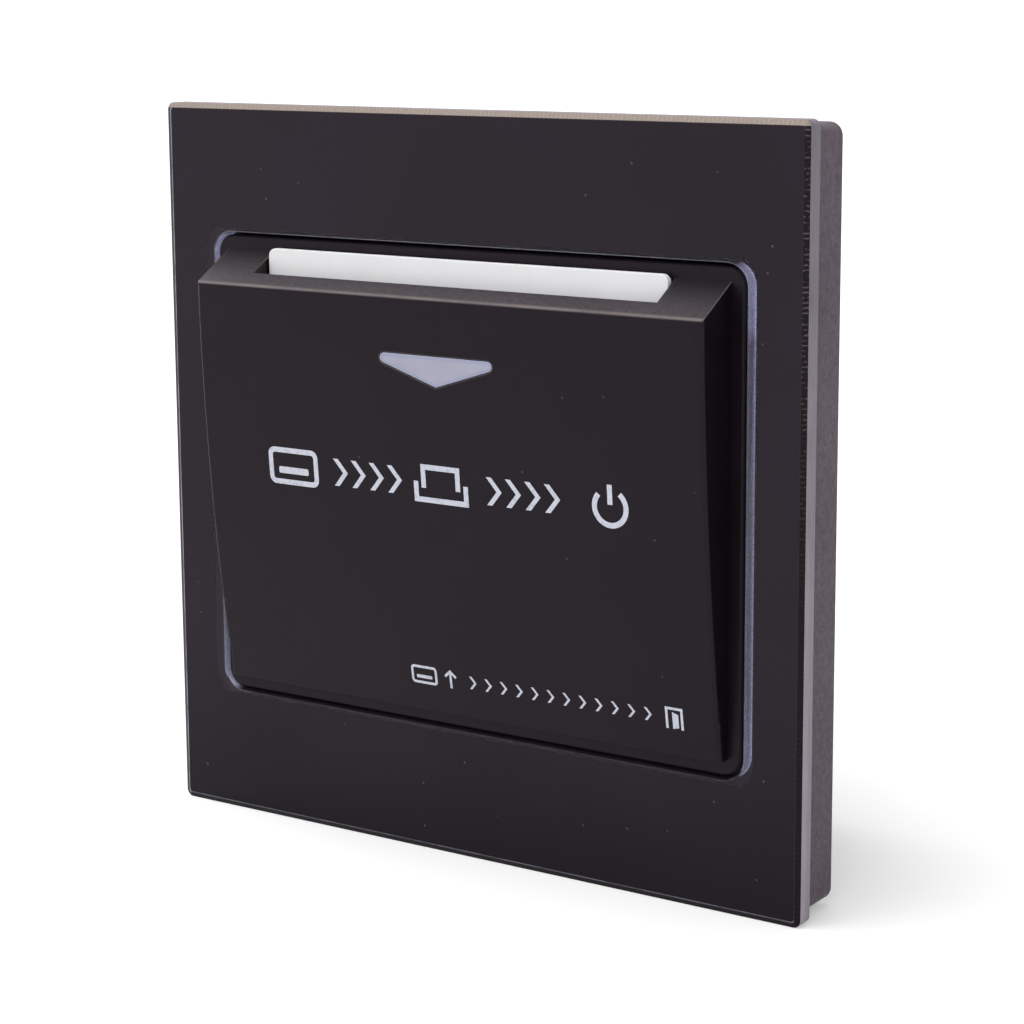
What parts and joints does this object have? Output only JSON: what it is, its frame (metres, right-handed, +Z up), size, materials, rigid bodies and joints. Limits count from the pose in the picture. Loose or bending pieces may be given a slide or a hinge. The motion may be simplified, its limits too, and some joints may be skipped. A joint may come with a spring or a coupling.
{
  "type": "key card switch",
  "caption": "Square glass-fronted wall switch with a projecting card pocket: a card pushed into the slot tilts a lever that works a snap switch in the rear box.",
  "frame": {"origin": "middle of the wall plane, halfway between the two fixing holes", "axes": "+X to the right seen from the front, +Y into the wall, +Z up; the front faces -Y"},
  "size_m": [0.086, 0.041, 0.086],
  "materials": {
    "clear_glass": "polished, ground edges",
    "bond_sheet": "black film",
    "frame_plastic": "satin moulding",
    "pocket_plastic": "satin lacquer",
    "lens_plastic": "milky",
    "spring_steel": "bright",
    "card_plastic": "white, smooth",
    "guide_plastic": "moulded",
    "base_plastic": "moulded",
    "lever_plastic": "acetal",
    "screw_steel": "zinc plated",
    "switch_plastic": "moulded",
    "plunger_plastic": "moulded",
    "tinned_brass": "tinned",
    "clear_plastic": "clear",
    "board_laminate": "lacquered laminate",
    "relay_plastic": "moulded",
    "film_case": "moulded",
    "can_sleeve": "sleeved",
    "disc_coat": "lacquered",
    "fuse_case": "moulded",
    "chip_plastic": "moulded",
    "resistor_coat": "lacquered",
    "block_plastic": "moulded",
    "clamp_brass": "plain"
  },
  "bodies": {
    "housing": {"glass_panel": "clear_glass", "adhesive_sheet": "bond_sheet", "panel_frame": "frame_plastic", "pocket_cover": "pocket_plastic", "arrow_lens": "lens_plastic", "card_springs": "spring_steel", "card_guide": "guide_plastic", "guide_screws": "screw_steel", "base_housing": "base_plastic", "lever_pin": "screw_steel", "lever_spring": "spring_steel", "switch_case": "switch_plastic", "switch_lugs": "tinned_brass", "light_pipe": "clear_plastic", "indicator_led": "clear_plastic", "circuit_board": "board_laminate", "board_screws": "screw_steel", "relay": "relay_plastic", "film_capacitor": "film_case", "electrolytic_capacitor": "can_sleeve", "varistor": "disc_coat", "fuse": "fuse_case", "bridge_rectifier": "chip_plastic", "control_chip": "chip_plastic", "resistors": "resistor_coat", "terminal_block": "block_plastic", "terminal_clamps": "clamp_brass", "terminal_screws": "screw_steel"},
    "card": {"key_card": "card_plastic"},
    "lever": {"actuator_lever": "lever_plastic"},
    "plunger": {"switch_plunger": "plunger_plastic"}
  },
  "joints": [
    {"name": "card_slide", "type": "slide", "parent": "housing", "child": "card", "axis": [0, 0, 1], "range_m": [0, 0.046]},
    {"name": "lever_pivot", "type": "hinge", "parent": "housing", "child": "lever", "pos_m": [0, -0.0025, -0.02005], "axis": [-1, 0, 0], "range_deg": [0, 10], "deforming": ["lever_spring"]},
    {"name": "plunger_travel", "type": "slide", "parent": "housing", "child": "plunger", "axis": [0, 0, -1], "range_m": [0, 0.0009]}
  ],
  "couplings": [
    {"joint": "lever_pivot", "follows": "card_slide", "rad_per_m": 3.794},
    {"joint": "plunger_travel", "follows": "card_slide", "ratio": 0.01956}
  ]
}
